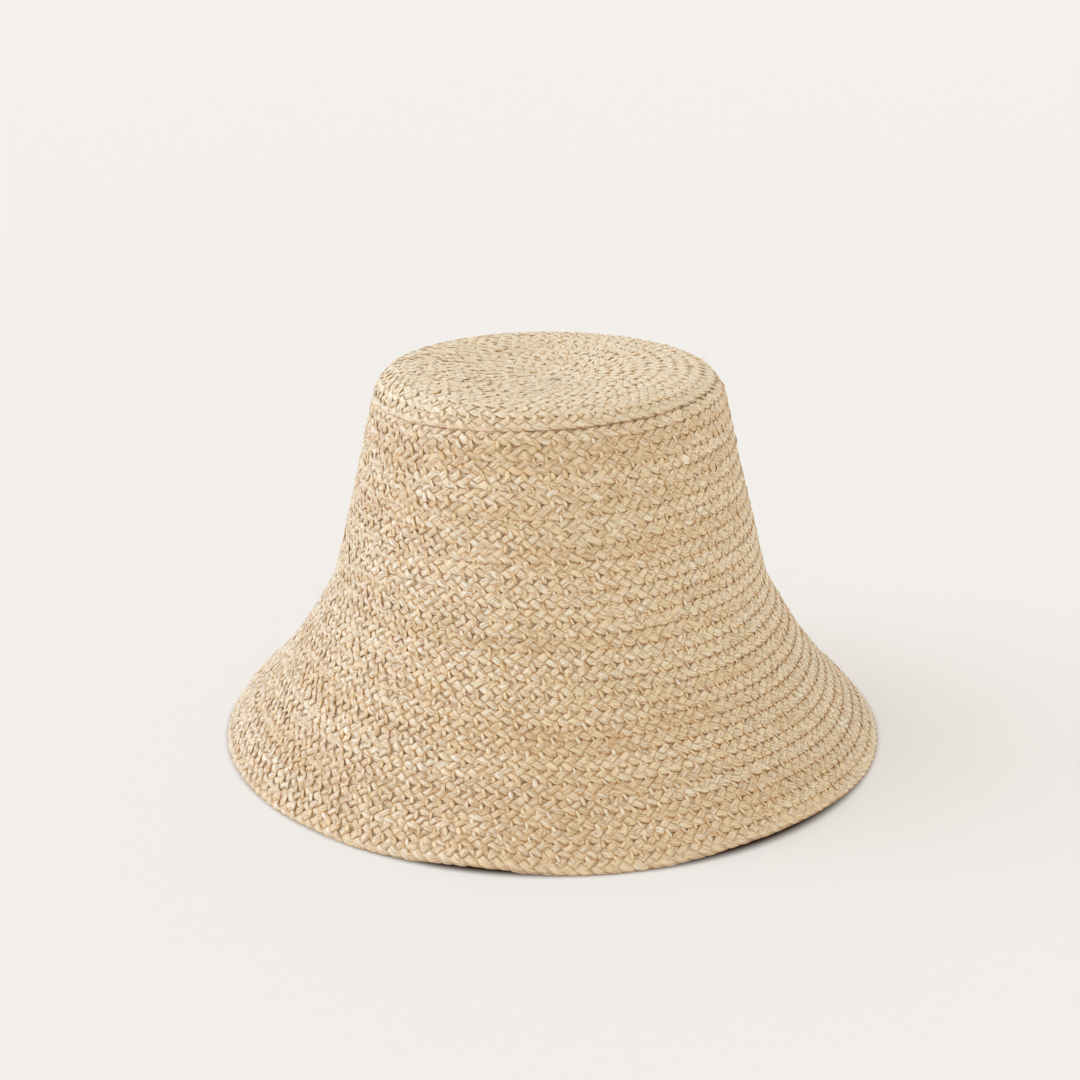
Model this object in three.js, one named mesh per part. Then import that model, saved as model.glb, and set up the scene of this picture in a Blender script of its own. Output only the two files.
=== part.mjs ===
// Raffia hat: one narrow braid sewn row under row from the middle of the tip to the edge of the brim.
// Millimetres, Z up, front towards -Y. The hat stands on the edge of its brim, on the plane Z = 0.
import * as THREE from 'three';

// Rows of braid in each piece, counted along the spiral from the middle of the tip
const TIP_ROWS = 13;
const SIDE_ROWS = 16;
const BRIM_ROWS = 13;
const EDGE_ROWS = 1;
const ROWS = TIP_ROWS + SIDE_ROWS + BRIM_ROWS + EDGE_ROWS;

// Braid and seams
const BRAID_THICKNESS = 2.2;      // a sewn row, from its crest on the outside to the inside
const EDGE_THICKNESS = 2.9;       // the last row is a fuller braid
const GROOVE_DEPTH = 0.6;         // the dip over each seam between two rows
const PIECE_GAP = 0.3;            // left between neighbouring pieces
const INSIDE_STEP = 2;            // rows between two rings of the smoother inside
const SIDES = 48;                 // flats round the hat

// The outside, from the middle of the tip over the crease and down to the table
const OUTLINE = [
  { place: 'middle of the tip', radius: 0, height: 160.4 },
  { place: 'half way out', radius: 28, height: 160.4 },
  { place: 'lip', radius: 54.7, height: 160.6 },
  { place: 'shoulder', radius: 67.2, height: 157.9 },
  { place: 'crease', radius: 72.5, height: 151.9 },
  { place: 'under the crease', radius: 74.7, height: 144.4 },
  { place: 'upper side', radius: 79.9, height: 121.4 },
  { place: 'middle of the side', radius: 85.4, height: 98.9 },
  { place: 'lower side', radius: 90.9, height: 76.9 },
  { place: 'head line', radius: 93.4, height: 67.9 },
  { place: 'start of the flare', radius: 98.6, height: 58.3 },
  { place: 'flare', radius: 107.4, height: 43.6 },
  { place: 'upper brim', radius: 116.7, height: 30.1 },
  { place: 'lower brim', radius: 126.7, height: 18 },
  { place: 'last rows', radius: 136.2, height: 8.8 },
  { place: 'edge', radius: 142.8, height: 0 },
];

// Where the brim's edge stands clear of the table: middle and half width in degrees, lift in mm
const LIFTED_ARCS = [
  { side: 'front left', azimuth: -108, halfWidth: 14, lift: 1.6 },
  { side: 'front right', azimuth: -47, halfWidth: 34, lift: 3.6 },
  { side: 'back right', azimuth: 60, halfWidth: 30, lift: 2.4 },
  { side: 'back left', azimuth: 152, halfWidth: 34, lift: 2.8 },
  { side: 'left', azimuth: -160, halfWidth: 22, lift: 1.5 },
];
const LIFT_FADE_HEIGHT = 62;      // above this the wall stays where it is

// The tip has sunk in the middle, a little left of the axis, and the crown leans left
const DISH = { x: -7, y: 3, radius: 52, depth: 7 };
const CROWN_LEAN = 1.5;

// Dry raffia, a little paler on the tip, where the light has bleached it
const RAFFIA = { roughness: 0.78, metalness: 0 };
const COLOURS = { tip: '#ddc9ab', side: '#d2bb93', brim: '#ccb38b', edge: '#d3ba92' };

const TIP_HEIGHT = OUTLINE[0].height;
const EDGE_RADIUS = OUTLINE[OUTLINE.length - 1].radius;

const outline = new THREE.CatmullRomCurve3(
  OUTLINE.map((row) => new THREE.Vector3(row.radius, row.height, 0)),
  false,
  'centripetal',
);
outline.arcLengthDivisions = 1200;
const rowPitch = outline.getLength() / ROWS;

// Half of a gap between two pieces, in rows
const halfGap = PIECE_GAP / 2 / rowPitch;

// A point of the section: rows from the middle of the tip, depth in from the outside
function sectionPoint(row, depth) {
  const point = outline.getPointAt(row / ROWS);
  const along = outline.getTangentAt(row / ROWS);
  return new THREE.Vector2(point.x + along.y * depth, point.y - along.x * depth);
}

// Outside, from a low row up to a high one: a crest in the middle of each row, a groove over each seam
function outsideRings(high, low) {
  const rings = [sectionPoint(low - halfGap, GROOVE_DEPTH)];
  for (let half = 2 * low - 1; half > 2 * high; half -= 1) {
    rings.push(sectionPoint(half / 2, half % 2 ? 0 : GROOVE_DEPTH));
  }
  return rings;
}

// Inside, from a high row down to a low one, in longer steps
function insideRings(high, low) {
  const rings = [];
  for (let row = high + INSIDE_STEP; row <= low - INSIDE_STEP / 2; row += INSIDE_STEP) {
    rings.push(sectionPoint(row, BRAID_THICKNESS));
  }
  rings.push(sectionPoint(low - halfGap, BRAID_THICKNESS));
  return rings;
}

// The tip's section starts and ends on the axis
function tipSection() {
  return [
    new THREE.Vector2(0, TIP_HEIGHT - BRAID_THICKNESS),
    ...insideRings(0, TIP_ROWS),
    ...outsideRings(0, TIP_ROWS),
    new THREE.Vector2(0, TIP_HEIGHT),
  ];
}

// A band of the wall between two seams, its section closed on itself
function bandSection(high, low) {
  const loop = [
    ...outsideRings(high, low),
    sectionPoint(high + halfGap, GROOVE_DEPTH),
    sectionPoint(high + halfGap, BRAID_THICKNESS),
    ...insideRings(high, low),
  ];
  return [...loop, loop[0].clone()];
}

// The last row: plump on both sides, with a flat foot where it stands on the table
function edgeSection() {
  const top = ROWS - EDGE_ROWS + halfGap;
  const middle = ROWS - EDGE_ROWS / 2;
  const swell = (EDGE_THICKNESS - BRAID_THICKNESS) / 2;
  const rounding = EDGE_THICKNESS / 4;
  const loop = [
    new THREE.Vector2(EDGE_RADIUS - rounding, 0),
    new THREE.Vector2(EDGE_RADIUS, rounding),
    sectionPoint(middle, -swell),
    sectionPoint(top, GROOVE_DEPTH),
    sectionPoint(top, BRAID_THICKNESS),
    sectionPoint(middle, BRAID_THICKNESS + swell),
    new THREE.Vector2(EDGE_RADIUS - EDGE_THICKNESS - rounding, 0),
  ];
  return [...loop, loop[0].clone()];
}

// Height by which the brim's edge is lifted at an azimuth: one smooth hump for each lifted arc
function liftAt(azimuth) {
  let lift = 0;
  for (const arc of LIFTED_ARCS) {
    const away = Math.abs(THREE.MathUtils.euclideanModulo(azimuth - arc.azimuth + 180, 360) - 180);
    if (away < arc.halfWidth) {
      lift += (arc.lift * (1 + Math.cos((Math.PI * away) / arc.halfWidth))) / 2;
    }
  }
  return lift;
}

// Takes the round hat to its worn shape: lifted brim arcs, the dished tip and the leaning crown
function settle(geometry) {
  const position = geometry.attributes.position;
  for (let i = 0; i < position.count; i += 1) {
    const x = position.getX(i);
    const y = position.getY(i);
    const z = position.getZ(i);
    const azimuth = THREE.MathUtils.radToDeg(Math.atan2(y, x));
    const nearTable = 1 - THREE.MathUtils.smoothstep(z, 0, LIFT_FADE_HEIGHT);
    const away = Math.min(Math.hypot(x - DISH.x, y - DISH.y) / DISH.radius, 1);
    const onTip = THREE.MathUtils.smoothstep(z, TIP_HEIGHT * 0.9, TIP_HEIGHT * 0.96);
    const sunk = (DISH.depth * onTip * (1 + Math.cos(Math.PI * away))) / 2;
    position.setXYZ(i, x - (CROWN_LEAN * z) / TIP_HEIGHT, y, z + liftAt(azimuth) * nearTable - sunk);
  }
  geometry.computeVertexNormals();
  return geometry;
}

// Turns a section about the hat's axis and settles it
function turned(name, section, colour) {
  const geometry = new THREE.LatheGeometry(section, SIDES);
  geometry.rotateX(Math.PI / 2);
  const material = new THREE.MeshStandardMaterial({ color: colour, ...RAFFIA });
  const mesh = new THREE.Mesh(settle(geometry), material);
  mesh.name = name;
  return mesh;
}

const sideTop = TIP_ROWS;
const brimTop = sideTop + SIDE_ROWS;
const edgeTop = brimTop + BRIM_ROWS;

const hat = new THREE.Group();
hat.name = 'raffia_hat';
hat.add(
  turned('crown_tip', tipSection(), COLOURS.tip),
  turned('crown_side', bandSection(sideTop, brimTop), COLOURS.side),
  turned('brim', bandSection(brimTop, edgeTop), COLOURS.brim),
  turned('brim_edge', edgeSection(), COLOURS.edge),
);

export default hat;
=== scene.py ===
import math
import bpy
import numpy as np
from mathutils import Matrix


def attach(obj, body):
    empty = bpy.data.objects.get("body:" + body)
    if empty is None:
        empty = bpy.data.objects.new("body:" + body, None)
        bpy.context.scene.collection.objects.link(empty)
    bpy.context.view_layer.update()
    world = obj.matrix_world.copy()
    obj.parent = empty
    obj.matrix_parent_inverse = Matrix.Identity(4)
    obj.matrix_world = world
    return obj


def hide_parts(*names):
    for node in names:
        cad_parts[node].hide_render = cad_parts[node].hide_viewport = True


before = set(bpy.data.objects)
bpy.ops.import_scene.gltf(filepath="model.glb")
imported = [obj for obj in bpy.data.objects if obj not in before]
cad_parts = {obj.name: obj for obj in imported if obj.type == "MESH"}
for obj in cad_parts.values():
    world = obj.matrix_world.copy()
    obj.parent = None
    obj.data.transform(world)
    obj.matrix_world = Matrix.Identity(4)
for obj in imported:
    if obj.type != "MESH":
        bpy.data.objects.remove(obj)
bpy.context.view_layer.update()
print("frame loaded:", ", ".join(sorted(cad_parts)))

mm = 0.001   # metres

# The hat's outside in millimetres, from the middle of the tip to the edge: the line that the frame's
# solids follow
hat = {
    "outline": [  # radius, height
        (0, 160.4), (28, 160.4), (54.7, 160.6), (67.2, 157.9), (72.5, 151.9), (74.7, 144.4),
        (79.9, 121.4), (85.4, 98.9), (90.9, 76.9), (93.4, 67.9), (98.6, 58.3), (107.4, 43.6),
        (116.7, 30.1), (126.7, 18), (136.2, 8.8), (142.8, 0)],
    "rows": 43,
    "tipRows": 13,
    "sideRows": 16,
    "brimRows": 13,
    "brimUpperRows": 7,  # the brim's braid is cut in two after these
    "lean": 1.5,  # the crown leans left by this much at its top
    "dish": {"x": -7, "y": 3, "radius": 52, "depth": 7},  # the tip has sunk in here
    "dishStart": (0.9, 0.96),  # nothing sinks under this part of the height, and all over this one
    "lifts": [  # where the edge stands clear of the table: azimuth and half width in degrees, height
        (-112, 20, 1.6), (-99, 17, 2.7), (-67, 28, 1.3), (-47, 34, 3.6),
        (60, 30, 2.4), (152, 34, 2.8), (-160, 22, 0.6)],
    "liftFade": 62,  # above this height the wall stays where it is
    "footRounding": 0.7,  # strand crests flatten below this height over the table
    "rowShift": 3.7,  # rows hang lower on the left of the crown than on the right
    "shiftIn": (0, 8),  # this comes in and fades out between these turns of the braid
    "shiftOut": (14, 36),
    "levelling": (30, 42),  # between these turns the rows begin to run level
    "stepDown": 0.09,  # and then step down at the back, within this part of a turn to either side
    "closedSeams": [(12.36, 12.72), (13.27, 13.43)],  # drawn tight at the crease, where a painted shadow line runs, in turns of the braid
    "closedFade": 0.125,  # and fading over this part of their length
    "warmAndShadePlaces": [  # warmer leaf, and some painted shade: turns of the braid, half width in rows and in turns, strength
        (14.55, 0.9, 0.12, 1.1), (14.45, 0.5, 0.1, 0.5), (17.448, 0.3, 0.006, 2.2),
        (36.35, 1.0, 0.02, 1.0), (38.5, 1.2, 0.02, 0.7), (16.66, 1.6, 0.04, 0.7),
        # painted shade: (39.5, 7.0, ...) darkens the lower brim at the front, and (42.5, 0.9, ...) the
        # last row there
        (39.5, 7.0, 0.17, 0.85), (42.5, 0.9, 0.14, 1.0), (18.5, 5.0, 0.13, 0.4)],
}


# Eased step from 0 to 1 between two values: three times the square less twice the cube of the way gone
def ease(value, low, high):
    part = np.clip((value - low) / (high - low), 0, 1)
    return part * part * (3 - 2 * part)


# Random values at even steps along a line, eased between: a slow drift from -1 to 1
def drift(along, length, draw):
    knots = draw.uniform(-1, 1, int(along.max() / length) + 3)
    at = np.clip(along, 0, None) / length
    first = at.astype(int)
    part = ease(at - first, 0, 1)
    return knots[first] * (1 - part) + knots[first + 1] * part


# Centripetal Catmull-Rom curve through the outline's points, read out finely:
# distance from the tip's middle, radius and height
def outlineTable(points, stepsPerSpan=60):
    p = np.array(points, float)
    p = np.vstack([2 * p[0] - p[1], p, 2 * p[-1] - p[-2]])
    gap = np.sqrt(np.hypot(*np.diff(p, axis=0).T))[:, None]
    before, here, after = gap[:-2], gap[1:-1], gap[2:]
    p0, p1, p2, p3 = p[:-3], p[1:-2], p[2:-1], p[3:]
    start = ((p1 - p0) / before - (p2 - p0) / (before + here) + (p2 - p1) / here) * here
    end = ((p2 - p1) / here - (p3 - p1) / (here + after) + (p3 - p2) / after) * here
    part = np.linspace(0, 1, stepsPerSpan, endpoint=False)[:, None, None]
    line = (p1 + start * part + (3 * (p2 - p1) - 2 * start - end) * part ** 2
            + (2 * (p1 - p2) + start + end) * part ** 3)
    line = np.vstack([line.transpose(1, 0, 2).reshape(-1, 2), p2[-1:]])
    distance = np.concatenate([[0], np.cumsum(np.hypot(*np.diff(line, axis=0).T))])
    return distance, line[:, 0], line[:, 1]


lineDistance, lineRadius, lineHeight = outlineTable(hat["outline"])
lineLength = lineDistance[-1]
rowPitch = lineLength / hat["rows"]
slopeRadius = np.gradient(lineRadius, lineDistance)
slopeHeight = np.gradient(lineHeight, lineDistance)


# A point of the hat: the outline read at a distance from the tip's middle (past either end it runs
# straight on), moved square to the wall by depth and turned to its azimuth. It is settled as worn: the
# edge lifted and the dish sunk by raised cosines, and moved left by a part of its height
def hatPoint(distance, azimuth, depth):
    side = np.where(distance < 0, -1.0, 1.0)
    on = np.abs(distance)
    past = np.clip(on - lineLength, 0, None)
    outwards = np.interp(on, lineDistance, slopeRadius)
    upwards = np.interp(on, lineDistance, slopeHeight)
    radius = np.interp(on, lineDistance, lineRadius) + past * outwards - depth * upwards
    height = np.interp(on, lineDistance, lineHeight) + past * upwards + depth * outwards
    x = side * radius * np.cos(azimuth)
    y = side * radius * np.sin(azimuth)

    degrees = np.degrees(np.arctan2(y, x))
    lift = np.zeros_like(x)
    for middle, halfWidth, raised in hat["lifts"]:
        away = np.abs((degrees - middle + 180) % 360 - 180)
        lift += np.where(away < halfWidth, raised * (1 + np.cos(np.pi * away / halfWidth)) / 2, 0)
    lift *= 1 - ease(height, 0, hat["liftFade"])
    dish = hat["dish"]
    away = np.minimum(np.hypot(x - dish["x"], y - dish["y"]) / dish["radius"], 1)
    top = hat["outline"][0][1]
    lowest, full = hat["dishStart"]
    onTop = ease(height, top * lowest, top * full)
    sunk = dish["depth"] * onTop * (1 + np.cos(np.pi * away)) / 2
    z = height + lift - sunk
    foot = hat["footRounding"]
    z = np.where(z < foot, foot * np.exp(np.minimum(z - foot, 0) / foot), z)
    return np.stack([x - hat["lean"] * height / top, y, z], axis=-1) * mm


# The braid's way: millimetres of braid against turns about the axis, summed as mean circumferences
tableSteps = 8000
turnTable = np.linspace(0, hat["rows"] + 1, tableSteps)
turnRadius = np.interp(turnTable * rowPitch, lineDistance, lineRadius)
stepLength = np.pi * (turnRadius[1:] + turnRadius[:-1]) * np.diff(turnTable)
braidTable = np.concatenate([[0], np.cumsum(stepLength)])


# Length of braid up to a turn, read from the table
def braidAt(turns):
    return np.interp(turns, turnTable, braidTable)


# Turns up to a length of braid, read the other way
def turnsAt(along):
    return np.interp(along, braidTable, turnTable)


# Where the seam under a row is drawn tight, so that it shows without stitches as one thin painted shadow
# line: 1 between its two turns, eased to 0 beyond both
def closedPart(turns):
    closed = np.zeros_like(turns)
    for first, last in hat["closedSeams"]:
        fade = (last - first) * hat["closedFade"]
        part = ease(turns, first - fade, first) * (1 - ease(turns, last, last + fade))
        closed = np.maximum(closed, part)
    return closed


# Places where sunburnt, warmer leaf was worked in, and two where warmer leaf is painted shade, low on
# the brim's front and in the last row there: a bell each, by rows and by turns
def warmAndShadePart(turns):
    warm = np.zeros_like(turns)
    for middle, rows, width, strength in hat["warmAndShadePlaces"]:
        beside = (turns - middle + 0.5) % 1 - 0.5
        row = (turns - middle - beside) / rows
        warm += strength * np.exp(-(beside / width) ** 2 - row ** 2)
    return warm


# How much lower a row hangs on the left of the crown, and higher on the right: a sine once a turn
def rowShift(turns):
    share = ease(turns, *hat["shiftIn"]) * (1 - ease(turns, *hat["shiftOut"]))
    return -hat["rowShift"] * np.sin(2 * np.pi * turns) * share


# How far apart rows lie, in pitches: half the way from the row before to the next
def rowGap(turns):
    return 1 + (rowShift(turns + 1) - rowShift(turns - 1)) / (2 * rowPitch)


# Distance of a row's middle line from the middle of the tip: one pitch a turn, and its shift. Towards
# the edge each turn runs level and steps down a row at the back, so that the last one closes the edge
def rowMiddle(turns):
    fromBack = turns - np.round(turns)
    step = hat["stepDown"]
    level = np.where(np.abs(fromBack) > step, np.sign(fromBack) * 0.5 - fromBack,
                     fromBack * (0.5 / step - 1))
    lastTurn = turns > hat["rows"] - 0.5
    level = np.where(lastTurn, hat["rows"] - 0.5 - turns, level)
    return (turns + level * ease(turns, *hat["levelling"])) * rowPitch + rowShift(turns)


# Braid coordinates to the hat: millimetres along the braid, across it (towards the edge) and out of it.
# The braid winds clockwise seen from above
def onBraid(along, across, out):
    turns = turnsAt(along)
    return hatPoint(rowMiddle(turns) + across, np.pi / 2 - 2 * np.pi * turns, out)


# Faces of four corners for tubes that have the same number of rings and of points a ring: a grid, closed
# round, and a strip over each end
def tubeFaces(tubes, rings, points):
    ring = np.arange(rings - 1)[:, None]
    point = np.arange(points)[None, :]
    turned = (point + 1) % points
    wall = np.stack([ring * points + point, ring * points + turned,
                     (ring + 1) * points + turned, (ring + 1) * points + point], -1).reshape(-1, 4)
    last = (rings - 1) * points
    start = [[0, points - 1 - k, points - 2 - k, points - 3 - k] for k in range(0, points - 2, 2)]
    end = [[last, last + k + 1, last + k + 2, last + k + 3] for k in range(0, points - 2, 2)]
    one = np.vstack([wall, start, end])
    return (one[None] + np.arange(tubes)[:, None, None] * rings * points).reshape(-1, 4)


# UVs for the same faces: x runs once round the tube, from 0 to its share of the fibre pattern's width,
# and y is the distance given for each ring
def tubeUvs(rings, points, ringDistance, share=1.0):
    tubes = ringDistance.shape[0]
    point = np.arange(points) / points
    x = np.stack([point, point + 1 / points, point + 1 / points, point], -1) * share
    x = np.broadcast_to(x[None, None], (tubes, rings - 1, points, 4))
    low, high = ringDistance[:, :-1, None], ringDistance[:, 1:, None]
    y = np.stack(np.broadcast_arrays(low, low, high, high), -1)
    y = np.broadcast_to(y, (tubes, rings - 1, points, 4))
    wall = np.stack([x, y], -1).reshape(tubes, -1, 4, 2)
    caps = np.zeros((tubes, points - 2, 4, 2))
    caps[:, : points // 2 - 1, :, 1] = ringDistance[:, :1, None]
    caps[:, points // 2 - 1:, :, 1] = ringDistance[:, -1:, None]
    return np.concatenate([wall, caps], 1).reshape(-1, 2)


# Puts whole arrays into a new mesh object: points, faces of four corners, UVs and values of each point
def addPiece(name, points, faces, uvs, values):
    mesh = bpy.data.meshes.new(name)
    mesh.vertices.add(len(points))
    mesh.vertices.foreach_set("co", points.astype(np.float32).ravel())
    mesh.loops.add(faces.size)
    mesh.loops.foreach_set("vertex_index", faces.astype(np.int32).ravel())
    mesh.polygons.add(len(faces))
    mesh.polygons.foreach_set("loop_start", np.arange(len(faces), dtype=np.int32) * 4)
    mesh.polygons.foreach_set("use_smooth", np.ones(len(faces), bool))
    mesh.uv_layers.new(name="along").uv.foreach_set("vector", uvs.astype(np.float32).ravel())
    for key, value in values.items():
        layer = mesh.attributes.new(key, "FLOAT", "POINT")
        layer.data.foreach_set("value", value.astype(np.float32).ravel())
    mesh.update(calc_edges=True)
    mesh.validate()
    piece = bpy.data.objects.new(name, mesh)
    bpy.context.scene.collection.objects.link(piece)
    return piece


# The plait: three flat strands
braid = {
    "period": 15.9,       # one strand there and back, which shows three chevrons
    "swayDown": 1.85,     # how far a strand goes from the middle, towards the edge of the hat
    "swayUp": 2.6,        # and towards the tip, where it ends up under the row before
    "straightness": 0.1,  # above 0 it crosses straighter and turns back in a shorter bend
    "rise": 0.4,          # how far it goes over and under the others
    "edgeDown": 0.4,      # how much less it sinks where it turns back at the row's sides
    "edgeUp": 0.44,
    "lag": 0.6,           # it rises this late, in radians, so that its turn starts hidden
    "strandWidth": 3.4,   # where it shows on top
    "hiddenSpread": 0.6,  # it spreads by this part more under the others
    "edgeNarrowing": 0.3,    # and is this much narrower where it turns back over the next row
    "narrowPower": 6,     # the higher, the closer to that turn
    "strandHeight": 1.15,
    "shoulder": 0.6,      # the section: a flat top as wide as this part, then flanks down to the sides
    "roll": 0.07,         # strands tilt down towards the row's sides
    "shingle": 0.05,      # each row's lower side stands out over the next row
    "steps": 14,          # rings in one period
    "bunching": 0.22,     # more rings where a strand shows on top
    "inset": 1.15,        # middle of the plait under the hat's outside
    "tipSpread": 0.08,    # on the tip strands are this much wider
    "tipSway": 0.03,      # and go this much further to the row's sides
    "rightSpread": 0.25,  # on the right of the hat they are this much wider
    "rightStraight": 0.85,   # and what lies over the seam is pressed back to it by this part
    "crease": 0.5,        # the tip's last row stands over the side by this much
    "creaseRows": 0.4,    # half width in rows of a bell over each of the two rows at the fold
    "creaseReach": 1.2,   # it grows up to this many half rows from their middle lines
    "wander": 0.2,        # how far the row itself wavers across
    "wanderOut": 0.6,     # and outwards, as a part of that
    "wanderLengths": (35, 22),   # millimetres of braid from one value to the next, across and outwards
    "uneven": {           # how much lobes differ in width, place, thickness and tilt
        "width": 0.17, "across": 0.22, "out": 0.14, "along": 0.4, "height": 0.2, "roll": 0.22},
    "firstTurn": 0.06,    # where the braid starts
    "edgeSize": 1.15,     # the last row is a fuller braid
    "taperStart": 2.0,    # the braid's ends thin out over these lengths, down to a part of its size
    "taperEnd": 14.0,
    "thinnest": 0.15,
    "endSink": 0.6,       # and sink by this much
    "lobeTone": 0.17,     # leaf is lighter or darker by lobe
    "strandTone": 0.2,    # and by stretches of strand
    "strandToneLength": 140,
    "rowTones": ((0.6, 170), (0.4, 45)),   # warmth along the row: shares and lengths of two drifts
    "leftPaintedLight": 0.5,      # painted light: leaf is this much paler on the left, the side the window lights
    "edgePaling": 0.45,   # the last row is made paler by this part of what the tip is
    "seed": 4,
}
pace = 2 * np.pi / braid["period"]
strandCount = 3    # the way each strand sways and dives holds for three
fibrePlaces = 50   # each strand reads the fibre pattern at a depth of its own, up to this

# What changes from place to place over the hat. Pairs are turns of the braid between which a change
# comes in or goes
overHat = {
    "pressed": 0.42,      # the tip is pressed flat: the part of its relief that is left
    "pressedUntil": (11, 14),
    "leftRelief": 0.28,   # rows stand this much plumper on the left of the hat
    "rightLoss": 0.66,    # and this much flatter on the right
    "crownLoss": 0.24,    # and on the crown, except on its left
    "crownIn": (10, 14),
    "crownOut": (22, 30),
    "sidesIn": (9, 13),   # left and right are the same on the tip
    "tipOut": (10, 13),
    "straightIn": (13, 15),
    "roughTop": 0.45,     # strands lie less even in the first rows under the crease, and on the left
    "roughIn": (11, 13),
    "roughOut": (20, 25),
    "closedShadeLine": 0.55,   # how dark the painted shadow line along the crease is
    "seamShadeLine": 0.3,      # how dark the painted shadow line along a seam is at the front
    "seamRight": 0.6,     # and more on the right
    "seamIn": (14, 22),
    "edgeIn": (1.1, 1.0),    # the last row's size comes in this many turns before the end
    "paleIn": (1.1, 0.9),    # and its paler leaf
}


# How far a strand point stands out where the tip folds into the side: the row above the fold
# lifts its lower side and the row below tucks its upper side in, each in a bell about its own middle
def creaseStep(turns, across):
    part = across / (rowPitch / 2)
    width, reach = braid["creaseRows"], braid["creaseReach"]
    above = np.exp(-((turns + 0.5 - hat["tipRows"]) / width) ** 2)
    below = np.exp(-((turns - 0.5 - hat["tipRows"]) / width) ** 2)
    return braid["crease"] * (above * np.clip(part, 0, reach) + below * np.clip(part, -reach, 0))


# Where a turn of the side or the brim has got to: its sine, 1 on the right of the hat, -1 on the left
def rightPart(turns):
    return np.sin(2 * np.pi * turns) * ease(turns, *overHat["sidesIn"])


# The same on the right alone, from 0 to 1
def onRight(turns):
    return np.clip(rightPart(turns), 0, 1)


# How much of their relief the strands keep: a part of it on the tip and all of it below, times a loss
# on the crown, and times a gain on the left or a loss on the right
def pressedPart(turns):
    pressed = overHat["pressed"] + (1 - overHat["pressed"]) * ease(turns, *overHat["pressedUntil"])
    right = rightPart(turns)
    onCrown = ease(turns, *overHat["crownIn"]) * (1 - ease(turns, *overHat["crownOut"]))
    onCrown *= 1 + np.minimum(right, 0)
    pressed *= 1 - overHat["crownLoss"] * onCrown
    sides = overHat["leftRelief"] * np.minimum(right, 0) + overHat["rightLoss"] * np.maximum(right, 0)
    return pressed * (1 - sides)


# How dark the painted shadow line along the seam under a row is: the larger of what the crease has and
# what all seams have, which grows to the right
def seamShadeLinePart(turns):
    line = overHat["seamShadeLine"] + overHat["seamRight"] * onRight(turns)
    return np.maximum(overHat["closedShadeLine"] * closedPart(turns), line * ease(turns, *overHat["seamIn"]))


# How uneven the strands lie, against their usual unevenness: more at the top, and by a sine on the left
def unevenPart(turns):
    top = ease(turns, *overHat["roughIn"]) * (1 - ease(turns, *overHat["roughOut"]))
    return 1 + overHat["roughTop"] * (top - np.sin(2 * np.pi * turns))


# From 0 to 1 at the start of the last row, between two numbers of turns before the end
def lastRow(turns, before):
    return ease(turns, hat["rows"] - before[0], hat["rows"] - before[1])


# How much paler the leaf is made: all of the tip, and some of the edge
def palingPart(turns):
    onTip = 1 - ease(turns, hat["tipRows"] - 1, hat["tipRows"])
    return onTip + braid["edgePaling"] * lastRow(turns, overHat["paleIn"])


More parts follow.
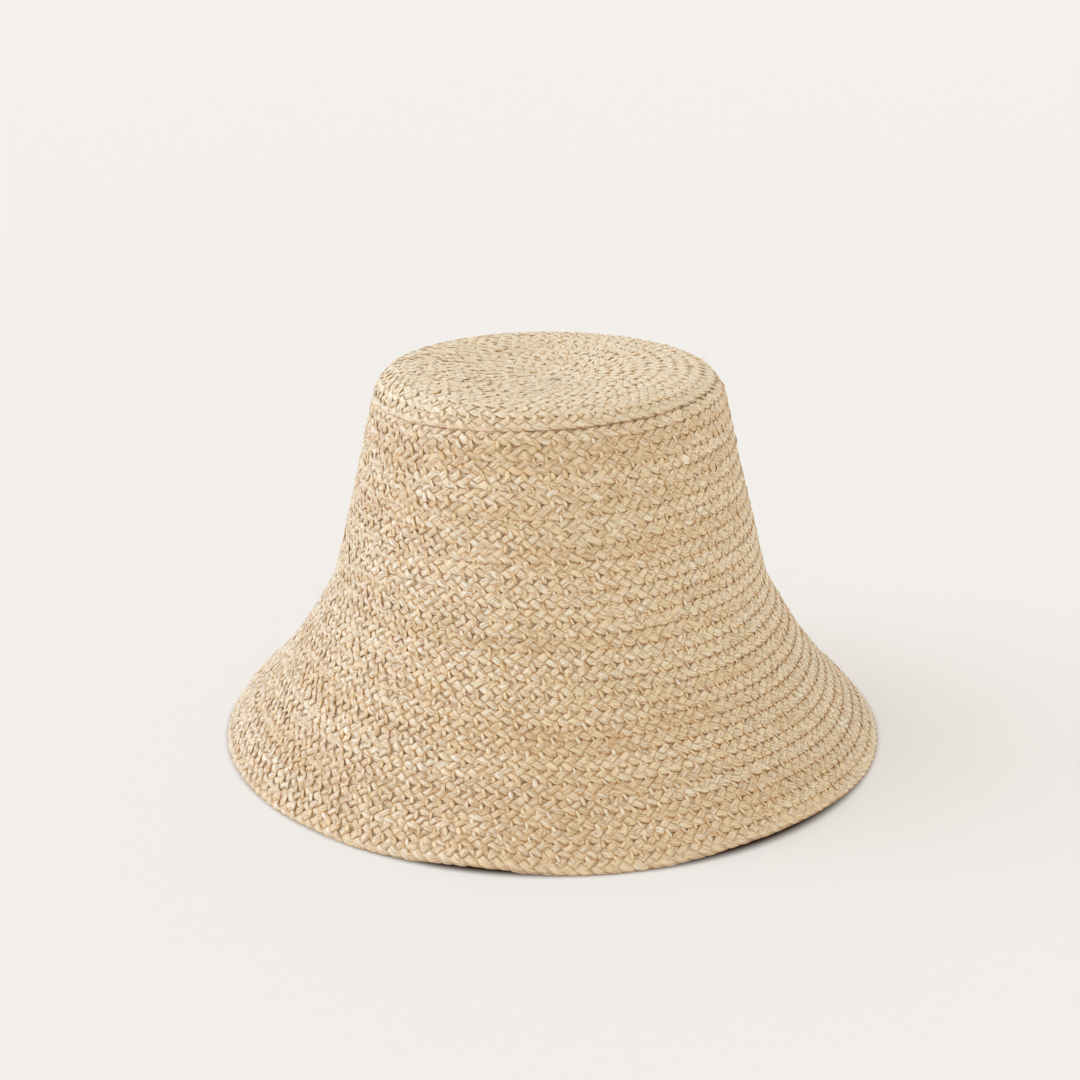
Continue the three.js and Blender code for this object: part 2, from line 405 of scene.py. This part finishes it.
# The three strands' middle lines over the whole spiral. Each sways by the sine of its phase and stands
# out by minus the sine of twice the phase, so it shows on top on its way from either side to the
# middle. Every lobe differs a little in width, thickness, place and tilt
def layStrands():
    draw = np.random.default_rng(braid["seed"])
    start, end = braidAt(braid["firstTurn"]), braidAt(hat["rows"])
    count = int((end - start) / braid["period"] * braid["steps"]) + 1
    base = np.linspace(start, end, count)[None, :]
    offset = (np.arange(strandCount) * 2 * np.pi / strandCount)[:, None]
    phase = base * pace + offset
    phase = phase - braid["bunching"] * np.cos(2 * phase)
    along = (phase - offset) / pace
    lobe = phase / np.pi - 0.25   # whole numbers where the strand crosses on top
    lobe -= lobe.min()

    # A value for each lobe of each strand, eased from one to the next
    def perLobe(spread):
        return np.stack([drift(line, 1.0, draw) for line in lobe]) * spread

    # A slow drift along the row, the same for its three strands
    def perRow(length):
        return drift(base[0] - start, length, draw)

    turns = turnsAt(along)
    pressed = pressedPart(turns)
    uneven = unevenPart(turns)
    spread = braid["uneven"]
    onTip = 1 - ease(turns, *overHat["tipOut"])
    size = 1 + (braid["edgeSize"] - 1) * lastRow(turns, overHat["edgeIn"])
    size = (size + braid["tipSway"] * onTip) * rowGap(turns)
    fade = ease(along, start, start + braid["taperStart"])
    fade *= 1 - ease(along, end - braid["taperEnd"], end)
    thin = braid["thinnest"] + (1 - braid["thinnest"]) * fade

    down = np.sin(phase) > 0
    broad = 1 + perLobe(spread["width"]) * uneven
    broad *= 1 + braid["tipSpread"] * onTip + braid["rightSpread"] * onRight(turns)
    broad *= 1 + braid["hiddenSpread"] * np.clip(np.sin(2 * phase), 0, 1)
    turnBack = np.sin(phase + braid["lag"] / 2) ** braid["narrowPower"]
    broad *= 1 - braid["edgeNarrowing"] * down * turnBack

    straight = braid["straightness"]
    sway = (np.sin(phase) - straight * np.sin(3 * phase)) / (1 + straight)
    across = np.where(down, braid["swayDown"], braid["swayUp"]) * size * sway
    across += perLobe(spread["across"]) * uneven
    acrossLength, outLength = braid["wanderLengths"]
    across += perRow(acrossLength) * braid["wander"]

    out = -braid["rise"] * np.sin(2 * phase) + perLobe(spread["out"]) * uneven - braid["inset"]
    lower = 0.5 + 0.5 * np.sin(phase)
    edge = braid["edgeDown"] * lower + braid["edgeUp"] * (1 - lower)
    out += edge * np.sin(phase - braid["lag"]) ** 2 - (1 - fade) * braid["endSink"]
    out += perRow(outLength) * braid["wander"] * braid["wanderOut"]

    moved = along + perLobe(spread["along"]) * np.sin(2 * phase)
    high = 1 + perLobe(spread["height"])
    roll = perLobe(spread["roll"]) * uneven - braid["roll"] * np.sin(phase)
    tone = np.stack([drift(line, braid["strandToneLength"], draw) for line in along - start])
    tone = tone * braid["strandTone"] + perLobe(braid["lobeTone"])
    # Painted light: the tone is raised on the left, where the window's light falls
    tone -= braid["leftPaintedLight"] * np.minimum(rightPart(turns), 0)
    rowTone = sum(perRow(length) * share for share, length in braid["rowTones"])
    return {
        "along": moved,
        "across": across,
        "out": (out + braid["shingle"] * across) * pressed + creaseStep(turns, across),
        "halfWidth": braid["strandWidth"] / 2 * size * broad * thin,
        "halfHeight": braid["strandHeight"] / 2 * high * thin * pressed,
        "roll": roll * np.minimum(pressed, 1),
        "tone": tone,
        # the row's warm drift and the warm places, two of which are painted shade
        "rowTone": rowTone + warmAndShadePart(turns),
        "strand": np.broadcast_to(draw.uniform(0, fibrePlaces, strandCount)[:, None], phase.shape),
    }


strands = layStrands()
print("strands laid:", strands["along"].shape[1], "rings each")


# Corners of a section carried along middle lines: square to each line, its width flat against the hat,
# then rolled. wide and high set out the corners in half widths and half heights
def carried(centre, halfWidth, halfHeight, wide, high, roll):
    heading = np.gradient(centre, axis=1)
    heading /= np.linalg.norm(heading, axis=-1, keepdims=True)
    side = np.stack([-heading[..., 1], heading[..., 0], np.zeros_like(heading[..., 0])], -1)
    side /= np.linalg.norm(side, axis=-1, keepdims=True)
    up = np.cross(heading, side)
    side, up = side * np.cos(roll) + up * np.sin(roll), up * np.cos(roll) - side * np.sin(roll)
    return (centre[:, :, None] + side[:, :, None] * (wide * halfWidth[..., None])[..., None]
            + up[:, :, None] * (high * halfHeight[..., None])[..., None])


# A stretch of the braid between two turns. The section is a flat hexagon, rolled towards the row's
# side. On the right, what lies over the seam is drawn back to it
def braidStretch(name, firstTurn, lastTurn):
    middleLine = strands["along"].mean(axis=0)
    first, last = np.searchsorted(middleLine, [braidAt(firstTurn), braidAt(lastTurn)])
    cut = slice(first, min(last + 1, len(middleLine)))
    part = {key: line[:, cut] for key, line in strands.items()}
    centre = np.stack([part["along"], part["across"], part["out"]], -1)
    shoulder = braid["shoulder"]
    wide = np.array([1, shoulder, -shoulder, -1, -shoulder, shoulder])
    high = np.array([0, 1, 1, 0, -1, -1])
    spot = carried(centre, part["halfWidth"], part["halfHeight"], wide, high, part["roll"][..., None])
    shape = spot.shape[:3]
    turns = turnsAt(spot[..., 0])
    halfRow = rowPitch / 2 * rowGap(turns)
    beyond = np.clip(np.abs(spot[..., 1]) - halfRow, 0, None)
    straightened = braid["rightStraight"] * onRight(turns) * ease(turns, *overHat["straightIn"])
    spot[..., 1] -= np.sign(spot[..., 1]) * beyond * straightened
    seamTurns = np.where(spot[..., 1] > 0, turns, turns - 1)   # of the row above the nearer seam
    values = {key: np.broadcast_to(part[key][..., None], shape) for key in ("tone", "rowTone", "strand")}
    values["bleach"] = palingPart(turns)
    # The distance from the seam and how dark the painted shadow line over it is
    values["seam"] = np.abs(spot[..., 1]) - halfRow
    values["seamShadeLine"] = seamShadeLinePart(seamTurns)
    points = onBraid(spot[..., 0], spot[..., 1], spot[..., 2])
    faces = tubeFaces(strandCount, shape[1], len(wide))
    uvs = tubeUvs(shape[1], len(wide), part["along"])
    piece = addPiece(name, points.reshape(-1, 3), faces, uvs, values)
    print(name, "triangles", len(faces) * 2)
    return piece


barFibreShare = 0.4   # a bar shows this part of the fibres that a strand has


# Bars of four corners along middle lines in braid coordinates: bars x rings
def addBars(name, centre, halfWidth, halfHeight, tone, fibreWay, draw):
    wide = np.array([1, -1, -1, 1])
    high = np.array([1, 1, -1, -1])
    spot = carried(centre, halfWidth, halfHeight, wide, high, 0)
    points = onBraid(spot[..., 0], spot[..., 1], spot[..., 2])
    shape = spot.shape[:3]
    bars, rings, corners = shape
    values = {
        "tone": np.broadcast_to(tone[:, None, None], shape),
        "rowTone": np.zeros(shape),
        "bleach": palingPart(turnsAt(spot[..., 0])),
        "seam": np.ones(shape),
        "seamShadeLine": np.zeros(shape),
        "strand": np.broadcast_to(draw.uniform(0, fibrePlaces, bars)[:, None, None], shape),
    }
    faces = tubeFaces(bars, rings, corners)
    uvs = tubeUvs(rings, corners, fibreWay, barFibreShare)
    piece = addPiece(name, points.reshape(-1, 3), faces, uvs, values)
    print(name, "triangles", len(faces) * 2)
    return piece


# Short raffia bars that sew a row to the next one, one over each lobe of the row's lower side
stitch = {
    "firstTurn": 1.5,  # those before it are hidden in the middle of the tip
    "turnsLeft": 1.03,   # they end this many turns before the braid: nothing is sewn under the last row
    "place": 0.5,      # between one lobe, 0, and the next, 1
    "placeSpread": 0.45,
    "length": 3.3,
    "lengthSpread": 0.25,
    "width": 1.65,
    "widthSpread": 0.3,
    "rightSlender": 0.5,    # narrower by this part on the right of the hat
    "endTaper": 0.3,   # and by this part at its ends
    "height": 0.48,
    "slant": 0.4,      # the bar leans by this part of its length along the braid
    "slantSpread": 0.16,
    "arch": 0.3,       # its middle stands this far over its ends
    "depth": 0.06,     # height of the middle against the hat's outside
    "depthSpread": 0.12,
    "acrossSpread": 0.25,
    "unevenMissing": 0.2,   # the part that lies hidden between the strands, times how uneven these lie
    "missing": -0.2,   # and this is added, so that none is hidden where they lie as usual
    "tones": (-0.6, 0.5),   # darker and lighter leaf
    "rings": 4,
    "seed": 21,
}


# A bar across the seam for each lobe: its middle line is a parabola whose ends dive between the lobes
def stitchRun(name, firstTurn, lastTurn):
    draw = np.random.default_rng(stitch["seed"] + int(firstTurn))
    spacing = braid["period"] / strandCount
    start, end = braidAt(firstTurn), braidAt(lastTurn)
    count = int((end - start) / spacing)
    first = math.ceil(start / spacing)
    middle = (first + np.arange(count) + stitch["place"]) * spacing
    middle += draw.normal(0, stitch["placeSpread"], count)
    turns = turnsAt(middle)
    hidden = stitch["missing"] + closedPart(turns) + stitch["unevenMissing"] * unevenPart(turns)
    middle = middle[draw.uniform(0, 1, count) > hidden]
    count = len(middle)
    lengthSpread, widthSpread = stitch["lengthSpread"], stitch["widthSpread"]
    length = stitch["length"] * (1 + draw.uniform(-lengthSpread, lengthSpread, count))
    width = stitch["width"] * (1 + draw.uniform(-widthSpread, widthSpread, count))
    width *= 1 - stitch["rightSlender"] * onRight(turnsAt(middle))
    slant = stitch["slant"] + draw.normal(0, stitch["slantSpread"], count)
    depth = stitch["depth"] + draw.normal(0, stitch["depthSpread"], count)
    across = rowPitch / 2 + draw.normal(0, stitch["acrossSpread"], count)
    part = np.linspace(-1, 1, stitch["rings"])[None, :]
    centre = np.stack([
        middle[:, None] - part * (slant * length / 2)[:, None],
        across[:, None] + part * length[:, None] / 2,
        depth[:, None] - stitch["arch"] * part ** 2], -1)
    taper = 1 - stitch["endTaper"] * part ** 2
    fibreWay = centre[..., 1] + middle[:, None]
    return addBars(name, centre, width[:, None] / 2 * taper, stitch["height"] / 2 * taper,
                   draw.uniform(*stitch["tones"], count), fibreWay, draw)


# Ends of leaf that stick out between the strands
fibre = {
    "count": 300,
    "firstTurn": 2,      # they are scattered from here to the start of the last row
    "acrossSpread": 0.4,    # in rows, to both sides of a row's middle
    "shortest": 1.2,
    "longest": 5.0,
    "width": 0.26,
    "widthSpread": (0.6, 1.3),
    "endTaper": 0.75,    # narrower by this part at its end
    "thickness": 0.1,
    "buried": 0.6,       # each starts this far under the hat's outside
    "standing": 0.32,    # how steeply it leaves, against its length
    "standingSpread": (0.5, 1.5),
    "steep": 1.6,        # times this at its start
    "droop": 0.8,        # and times this much less at its end
    "curl": 0.5,
    "longEnds": [        # azimuth in degrees, row, length: more, which show on the hat's outline
        (117, 11.3, 2.4), (75, 11.2, 2.2), (61, 11.3, 2.8), (25, 11.6, 2.4),
        (2, 12.2, 2.4), (-4, 13.6, 2.4), (-92, 42.9, 2), (-65, 42.9, 2)],
    "longStanding": 1.5,
    "longWay": 0.9,      # they leave towards the edge of the hat, within this angle in radians
    "longWidth": 2.2,    # and are this much wider, in tufts
    "tones": (-0.2, 0.9),
    "rings": 5,
    "seed": 9,
}


# A stray end's middle line leaves the plait at a slant, turns evenly as it goes and falls back towards
# the plait by a parabola as it thins out
def looseFibres(name):
    draw = np.random.default_rng(fibre["seed"])
    azimuth, row, longLength = np.array(fibre["longEnds"], float).T
    longTurns = row + (90 - azimuth) / 360 % 1
    longCount = len(longTurns)
    scattered = draw.uniform(braidAt(fibre["firstTurn"]), braidAt(hat["rows"] - 1), fibre["count"])
    turns = np.concatenate([longTurns, turnsAt(scattered)])
    count = len(turns)
    length = draw.uniform(fibre["shortest"], fibre["longest"], count)
    length[:longCount] = longLength
    standing = fibre["standing"] * draw.uniform(*fibre["standingSpread"], count)
    standing[:longCount] = fibre["longStanding"]
    way = draw.uniform(0, 2 * np.pi, count)
    way[:longCount] = np.pi / 2 + draw.uniform(-fibre["longWay"], fibre["longWay"], longCount)
    bend = fibre["curl"] * draw.uniform(-1, 1, count)
    part = np.linspace(0, 1, fibre["rings"])[None, :]
    reach = length[:, None] * part
    turned = way[:, None] + bend[:, None] * part
    start = braidAt(turns)[:, None]
    across = draw.uniform(-fibre["acrossSpread"], fibre["acrossSpread"], count)[:, None] * rowPitch
    high = reach * standing[:, None] * (fibre["steep"] - part * fibre["droop"])
    centre = np.stack([
        start + reach * np.cos(turned),
        across + reach * np.sin(turned),
        high - fibre["buried"]], -1)
    taper = 1 - fibre["endTaper"] * part ** 2
    halfWidth = fibre["width"] / 2 * draw.uniform(*fibre["widthSpread"], count)[:, None] * taper
    halfWidth[:longCount] *= fibre["longWidth"]
    return addBars(name, centre, halfWidth, fibre["thickness"] / 2 * taper,
                   draw.uniform(*fibre["tones"], count), reach + start, draw)


# Socket of a node: arithmetic on it adds Math nodes
class Signal:
    def __init__(self, finish, socket):
        self.finish = finish
        self.socket = socket

    def __add__(self, other):
        return self.finish.maths("ADD", self, other)

    def __radd__(self, other):
        return self.finish.maths("ADD", other, self)

    def __sub__(self, other):
        return self.finish.maths("SUBTRACT", self, other)

    def __rsub__(self, other):
        return self.finish.maths("SUBTRACT", other, self)

    def __mul__(self, other):
        return self.finish.maths("MULTIPLY", self, other)

    def __rmul__(self, other):
        return self.finish.maths("MULTIPLY", other, self)


# Node tree of a material or the world
class Finish:
    def __init__(self, owner):
        owner.use_nodes = True
        self.tree = owner.node_tree
        self.tree.nodes.clear()

    # Adds a node: its settings first, then the values or links of its sockets. Returns one output, or
    # the node where it has none
    def node(self, kind, settings=None, inputs=None, output=0):
        made = self.tree.nodes.new(kind)
        for key, value in (settings or {}).items():
            setattr(made, key, value)
        for key, value in (inputs or {}).items():
            if isinstance(value, Signal):
                self.tree.links.new(value.socket, made.inputs[key])
            else:
                made.inputs[key].default_value = value
        return Signal(self, made.outputs[output]) if len(made.outputs) else made

    def maths(self, operation, first, second):
        return self.node("ShaderNodeMath", {"operation": operation}, {0: first, 1: second})

    def absolute(self, value):
        return self.node("ShaderNodeMath", {"operation": "ABSOLUTE"}, {0: value})

    def clamp(self, value):
        return self.node("ShaderNodeClamp", None, {"Value": value})

    # Eased from 0 to 1 between two values
    def between(self, value, low, high):
        return self.node("ShaderNodeMapRange", {"interpolation_type": "SMOOTHSTEP"},
                         {"Value": value, "From Min": low, "From Max": high})

    # Mixed colour: sockets 6 and 7 are a Mix node's two colours, output 2 its result
    def mix(self, factor, first, second):
        return self.node("ShaderNodeMix", {"data_type": "RGBA"}, {0: factor, 6: first, 7: second}, 2)

    def attribute(self, name):
        return self.node("ShaderNodeAttribute", {"attribute_name": name}, None, "Fac")


# A colour as a picture shows it (0 to 255) to the linear values that nodes take: the sRGB curve
def colour(red, green, blue):
    part = np.array([red, green, blue]) / 255
    linear = np.where(part <= 0.04045, part / 12.92, ((part + 0.055) / 1.055) ** 2.4)
    return (*(float(v) for v in linear), 1.0)


# Dry leaf. Pairs without another note are values between which a part goes from 0 to 1
raffia = {
    "pale": colour(243, 232, 211),
    "middle": colour(238, 214, 174),
    "tan": colour(220, 184, 130),
    "warm": colour(206, 164, 108),
    "bleached": colour(246, 229, 198),
    "split": colour(186, 126, 62),
    "hollowShade": colour(240, 190, 102),   # painted shade beside a line where strands meet
    # painted shade: the thin dark line where strands meet and over a seam
    "line": colour(196, 116, 28),
    "plies": 12,           # folds of the leaf round a strand
    "plyStretch": 0.17,    # how fast they change along it, per millimetre
    "plyDetail": 1.0,
    "plyTone": 4.0,        # how much they count for the tone of the leaf
    "fibres": 26,          # finer lines
    "fibreStretch": 0.3,
    "fibreDetail": 2.0,
    "fibreTone": 2.0,
    "fibreDark": 2.4,
    "noiseRoughness": 0.6,
    "light": (-0.5, 1.2),  # leaf from middle to pale
    "dark": (0.1, 1.2),    # and towards tan
    "tanShare": 0.6,
    "warmShare": 0.3,
    "palingShare": 0.3,
    "splitEdge": (0.004, 0.035),   # a split is where the plies' noise is this near to its middle
    "splitShare": 0.75,
    "splitPaling": 0.55,   # and less than that by this much where the leaf is paler
    # Painted shade: where an occlusion node finds other strands close, the leaf is coloured as a thin
    # dark line and a broad warm hollow
    "lineReach": 0.0005,   # how near another strand has to be, in metres, to paint a shade line
    "lineSamples": 6,
    "lineOpen": (0.4, 0.78),       # how open the place is, where 1 is clear all round
    "lineShare": 0.82,
    "linePaling": 0.7,     # painted shade lines are this much fainter where the leaf is paler
    "hollowOpen": (0.6, 1.0),
    "hollowShare": 0.85,
    "hollowPaling": 0.1,
    "seamWidth": (0.05, 0.24),     # millimetres from the seam, over which its own painted shadow line fades
    "faintRight": 0.65,    # painted shade lines are this much fainter inside the rows on the right
    "faintLine": (0.35, 0.9),      # by how dark the seam's painted shadow line is
    "faintSeam": (0.2, 0.9),       # and by millimetres from the seam
    "roughness": 0.46,
    "roughSpread": 0.25,
    "specular": 0.75,
    "bump": 0.0005,        # metres
    "bumpFibre": 0.25,     # the finer lines stand out by this part of the plies' height
    "bumpSplit": 0.25,
}


# Leaf folded into plies with finer lines along them: noise stretched along the strand. It is light or
# dark by these and by its strand, warm by its row, paler on the tip and the last row, and darker where
# it is split. Painted shade darkens it beside another strand, and a painted shadow line runs over a seam
def raffiaFinish(name, lineShare):
    material = bpy.data.materials.new(name)
    f = Finish(material)
    uv = f.node("ShaderNodeUVMap", {"uv_map": "along"})
    across = f.node("ShaderNodeSeparateXYZ", None, {"Vector": uv}, "X")
    lengthwise = f.node("ShaderNodeSeparateXYZ", None, {"Vector": uv}, "Y")
    strand = f.attribute("strand")

    def fibreNoise(count, stretch, detail):
        place = f.node("ShaderNodeCombineXYZ", None, {
            "X": across * count, "Y": lengthwise * stretch, "Z": strand})
        return f.node("ShaderNodeTexNoise", None, {
            "Vector": place, "Scale": 1.0, "Detail": detail, "Roughness": raffia["noiseRoughness"]})

    ply = fibreNoise(raffia["plies"], raffia["plyStretch"], raffia["plyDetail"])
    fine = fibreNoise(raffia["fibres"], raffia["fibreStretch"], raffia["fibreDetail"])
    split = 1 - f.between(f.absolute(ply - 0.5), *raffia["splitEdge"])
    tone = f.attribute("tone")
    rowTone = f.attribute("rowTone")
    clear = f.node("ShaderNodeAmbientOcclusion", {"samples": raffia["lineSamples"]},
                   {"Distance": raffia["lineReach"]}, "AO")
    bleach = f.attribute("bleach")
    seamShadeLine = f.attribute("seamShadeLine")
    # Painted shadow along the seam under a row, and how much it weakens the other painted lines beside
    # it
    fromSeam = f.absolute(f.attribute("seam"))
    seam = (1 - f.between(fromSeam, *raffia["seamWidth"])) * seamShadeLine
    faint = f.between(seamShadeLine, *raffia["faintLine"]) * f.between(fromSeam, *raffia["faintSeam"])
    faint = faint * raffia["faintRight"]

    plyTone = (ply - 0.5) * raffia["plyTone"]
    light = f.between(tone + plyTone + (fine - 0.5) * raffia["fibreTone"], *raffia["light"])
    dark = f.between(plyTone - (fine - 0.5) * raffia["fibreDark"] - tone, *raffia["dark"])
    base = f.mix(light, raffia["middle"], raffia["pale"])
    base = f.mix(dark * raffia["tanShare"], base, raffia["tan"])
    base = f.mix(f.between(rowTone, 0.0, 1.0) * raffia["warmShare"], base, raffia["warm"])
    base = f.mix(bleach * raffia["palingShare"], base, raffia["bleached"])
    base = f.mix(split * (raffia["splitShare"] - bleach * raffia["splitPaling"]), base, raffia["split"])
    # Painted shade beside other strands, by the occlusion node: a warm hollow, then a thin dark line
    near = 1 - f.between(clear, *raffia["hollowOpen"])
    near = near * (raffia["hollowShare"] - bleach * raffia["hollowPaling"])
    base = f.mix(near * (1 - faint), base, raffia["hollowShade"])
    lined = (1 - f.between(clear, *raffia["lineOpen"])) * (1 - bleach * raffia["linePaling"])
    base = f.mix(lined * (1 - faint) * (raffia["lineShare"] * lineShare), base, raffia["line"])
    # Painted shadow: a thin dark line over the seam
    base = f.mix(seam, base, raffia["line"])

    relief = ply + fine * raffia["bumpFibre"] - split * raffia["bumpSplit"]
    bump = f.node("ShaderNodeBump", None, {
        "Strength": 1.0, "Distance": raffia["bump"], "Height": relief})
    shader = f.node("ShaderNodeBsdfPrincipled", None, {
        "Base Color": base,
        "Roughness": f.clamp(raffia["roughness"] - (fine - 0.5) * raffia["roughSpread"]),
        "Specular IOR Level": raffia["specular"],
        "Normal": bump})
    f.node("ShaderNodeOutputMaterial", None, {"Surface": shader})
    return material


# Turns of the braid where pieces begin and end
rows = hat["rows"]
sideTop = hat["tipRows"]
brimTop = sideTop + hat["sideRows"]
edgeTop = brimTop + hat["brimRows"]
sideMiddle = (sideTop + brimTop) / 2
brimMiddle = brimTop + hat["brimUpperRows"]
tipSeam = sideTop - 0.5   # the seam in the crease, where the crown's stitches take over from the tip's

braidFinish = raffiaFinish("raffia_braid", 1.0)
stitchFinish = raffiaFinish("raffia_stitch", 0.4)   # painted shade lines are fainter on stitches and stray ends
print("finish ready")


# Gives a piece its finish, hides the frame parts it replaces, and hangs it on what it rides on
def settle(piece, finish, *nodes):
    piece.data.materials.append(finish)
    if nodes:
        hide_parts(*nodes)
    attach(piece, "root")


settle(braidStretch("tip_braid", 0, sideTop), braidFinish, "crown_tip")
settle(braidStretch("side_braid_upper", sideTop, sideMiddle), braidFinish, "crown_side")
settle(braidStretch("side_braid_lower", sideMiddle, brimTop), braidFinish, "crown_side")
settle(braidStretch("brim_braid_upper", brimTop, brimMiddle), braidFinish, "brim")
settle(braidStretch("brim_braid_lower", brimMiddle, edgeTop), braidFinish, "brim")
settle(braidStretch("edge_braid", edgeTop, rows), braidFinish, "brim_edge")
settle(stitchRun("stitches_tip", stitch["firstTurn"], tipSeam), stitchFinish)
settle(stitchRun("stitches_crown", tipSeam, brimTop), stitchFinish)
settle(stitchRun("stitches_brim", brimTop, rows - stitch["turnsLeft"]), stitchFinish)
settle(looseFibres("loose_fibres"), stitchFinish)


# Soft daylight in a pale room: light from all sides and one wide window
studio = {
    "floor": colour(241, 237, 231),
    "floorGlow": 0.42,   # the part of its brightness that no shadow takes away
    "glowStart": (0.139, 0.145),  # metres from the hat's axis: none of it under the hat
    "underHatShadow": colour(116, 88, 58),  # painted shadow: the floor there is coloured dark, and shows as a dark line under a lifted edge
    "floorRoughness": 0.9,
    "floorSpecular": 0.1,
    "floorSize": 60.0,   # metres
    "skyLeft": (1.0, 1.02, 1.06),
    "skyRight": (0.985, 0.95, 0.88),
    "skyStrength": 1.19,
    "zenithLoss": 0.5,  # the room is darker overhead by this part
    "zenithFrom": 0.1,  # from this height up, where 1 is overhead
    "sunStrength": 1.12,
    "sunColour": (0.94, 1.02, 1.2),
    "sunSpread": 50,     # degrees across
    "sunAzimuth": 175,   # degrees from +X, so from the left and a little behind
    "sunHeight": 42,     # degrees over the floor
}


# Pale floor that runs on past the picture's top edge. A part of its brightness glows by itself, outside
# the hat only; under the hat it is coloured dark, a painted contact shadow
def makeFloor():
    half = studio["floorSize"] / 2
    mesh = bpy.data.meshes.new("floor")
    mesh.from_pydata([(-half, -half, 0), (half, -half, 0), (half, half, 0), (-half, half, 0)],
                     [], [(0, 1, 2, 3)])
    floor = bpy.data.objects.new("floor", mesh)
    bpy.context.scene.collection.objects.link(floor)
    material = bpy.data.materials.new("floor_paper")
    f = Finish(material)
    glow = studio["floorGlow"]
    dull = (*(part * (1 - glow) for part in studio["floor"][:3]), 1)
    spot = f.node("ShaderNodeTexCoord", None, None, "Object")
    fromAxis = f.node("ShaderNodeVectorMath", {"operation": "LENGTH"}, {0: spot}, "Value")
    outside = f.between(fromAxis, *studio["glowStart"])
    shader = f.node("ShaderNodeBsdfPrincipled", None, {
        # Painted shadow: inside the edge the floor is dark and does not glow
        "Base Color": f.mix(outside, studio["underHatShadow"], dull),
        "Roughness": studio["floorRoughness"],
        "Specular IOR Level": studio["floorSpecular"],
        "Emission Color": f.mix(outside, (0, 0, 0, 1), studio["floor"]),
        "Emission Strength": glow})
    f.node("ShaderNodeOutputMaterial", None, {"Surface": shader})
    mesh.materials.append(material)


# The sky is tinted from left to right by X and darker overhead by Z; the window is a wide sun
def makeLight():
    world = bpy.data.worlds.new("soft_room")
    bpy.context.scene.world = world
    f = Finish(world)
    way = f.node("ShaderNodeTexCoord", None, None, "Generated")
    leftToRight = f.node("ShaderNodeSeparateXYZ", None, {"Vector": way}, "X")
    up = f.node("ShaderNodeSeparateXYZ", None, {"Vector": way}, "Z")
    left, right = (*studio["skyLeft"], 1), (*studio["skyRight"], 1)
    tint = f.mix(f.between(leftToRight, -1.0, 1.0), left, right)
    overhead = f.between(up, studio["zenithFrom"], 1.0)
    strength = studio["skyStrength"] * (1 - overhead * studio["zenithLoss"])
    sky = f.node("ShaderNodeBackground", None, {"Color": tint, "Strength": strength})
    f.node("ShaderNodeOutputWorld", None, {"Surface": sky})
    lamp = bpy.data.lights.new("window", "SUN")
    lamp.energy = studio["sunStrength"]
    lamp.angle = math.radians(studio["sunSpread"])
    lamp.color = studio["sunColour"]
    window = bpy.data.objects.new("window", lamp)
    tilt, turn = math.radians(90 - studio["sunHeight"]), math.radians(studio["sunAzimuth"])
    window.rotation_euler = (0, tilt, turn)
    bpy.context.scene.collection.objects.link(window)


# The photograph's camera: level sideways, looking along +Y and down by its pitch in degrees
shot = {
    "place": (-0.0054, -0.756, 0.3524),
    "pitch": 19.63,
    "lens": 62.13,   # millimetres, for this width of sensor
    "sensor": 36.0,
    "sight": 200,   # metres, past the far end of the floor
}


def makeCamera():
    camera = bpy.data.objects.new("camera", bpy.data.cameras.new("camera"))
    camera.data.lens = shot["lens"]
    camera.data.sensor_width = shot["sensor"]
    camera.data.clip_end = shot["sight"]
    camera.location = shot["place"]
    camera.rotation_euler = (math.radians(90 - shot["pitch"]), 0, 0)
    bpy.context.scene.collection.objects.link(camera)
    bpy.context.scene.camera = camera


makeFloor()
makeLight()
makeCamera()
scene = bpy.context.scene
scene.view_settings.view_transform = "Standard"
scene.view_settings.look = "None"
print("floor, light and camera ready")
